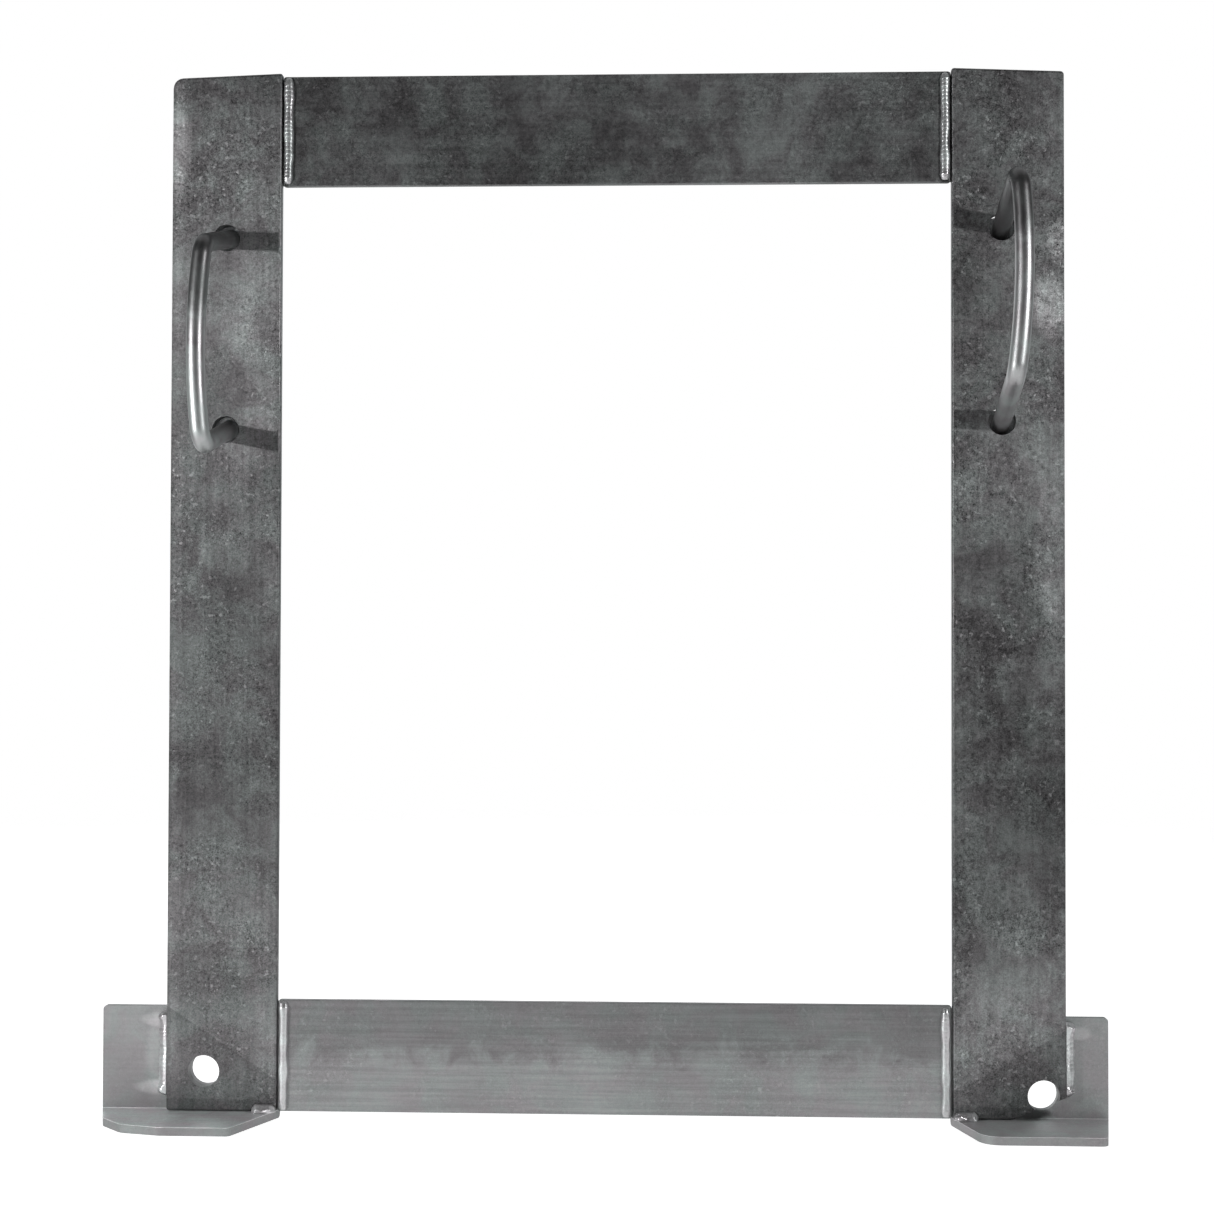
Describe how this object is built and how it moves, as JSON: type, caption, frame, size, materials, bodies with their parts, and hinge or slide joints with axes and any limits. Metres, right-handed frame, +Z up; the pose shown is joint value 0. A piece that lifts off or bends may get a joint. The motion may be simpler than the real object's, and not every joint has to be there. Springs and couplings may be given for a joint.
{
  "type": "carrying frame",
  "caption": "Welded upright frame of galvanised flat bar with loose round-bar U grips on its posts and drilled angle feet whose toes point forwards.",
  "frame": {"origin": "middle of the bottom of the bounding box, on the surface that the soles stand on", "axes": "+Z up along the posts, -Y the front, where the grips and the toes point, +X to the right seen from the front"},
  "size_m": [0.543, 0.0821, 0.5685],
  "materials": {
    "post_zinc": "hot-dip galvanised, mottled dark grey",
    "top_rail_zinc": "hot-dip galvanised, dark grey",
    "bottom_rail_zinc": "hot-dip galvanised, mid grey",
    "foot_zinc": "hot-dip galvanised, light grey",
    "grip_zinc": "galvanised round bar, bright",
    "washer_zinc": "galvanised",
    "weld_zinc": "galvanised weld bead, bright"
  },
  "bodies": {
    "frame": {"left_post": "post_zinc", "right_post": "post_zinc", "top_rail": "top_rail_zinc", "bottom_rail": "bottom_rail_zinc", "left_foot": "foot_zinc", "right_foot": "foot_zinc", "top_left_front_weld": "weld_zinc", "top_right_front_weld": "weld_zinc", "bottom_left_front_weld": "weld_zinc", "bottom_right_front_weld": "weld_zinc", "top_left_back_weld": "weld_zinc", "top_right_back_weld": "weld_zinc", "bottom_left_back_weld": "weld_zinc", "bottom_right_back_weld": "weld_zinc", "left_foot_side_weld": "weld_zinc", "right_foot_side_weld": "weld_zinc", "left_foot_rear_weld": "weld_zinc", "right_foot_rear_weld": "weld_zinc", "left_foot_toe_weld": "weld_zinc", "right_foot_toe_weld": "weld_zinc"},
    "left_grip_set": {"left_grip": "grip_zinc", "left_grip_upper_washer": "washer_zinc", "left_grip_lower_washer": "washer_zinc", "left_grip_upper_weld": "weld_zinc", "left_grip_lower_weld": "weld_zinc"},
    "right_grip_set": {"right_grip": "grip_zinc", "right_grip_upper_washer": "washer_zinc", "right_grip_lower_washer": "washer_zinc", "right_grip_upper_weld": "weld_zinc", "right_grip_lower_weld": "weld_zinc"}
  },
  "joints": [
    {"name": "left_grip_slide", "type": "slide", "parent": "frame", "child": "left_grip_set", "axis": [0, 0.9732, 0.23], "range_m": [0, 0.04]},
    {"name": "right_grip_slide", "type": "slide", "parent": "frame", "child": "right_grip_set", "axis": [0, 0.9548, -0.2974], "range_m": [0, 0.04]}
  ]
}
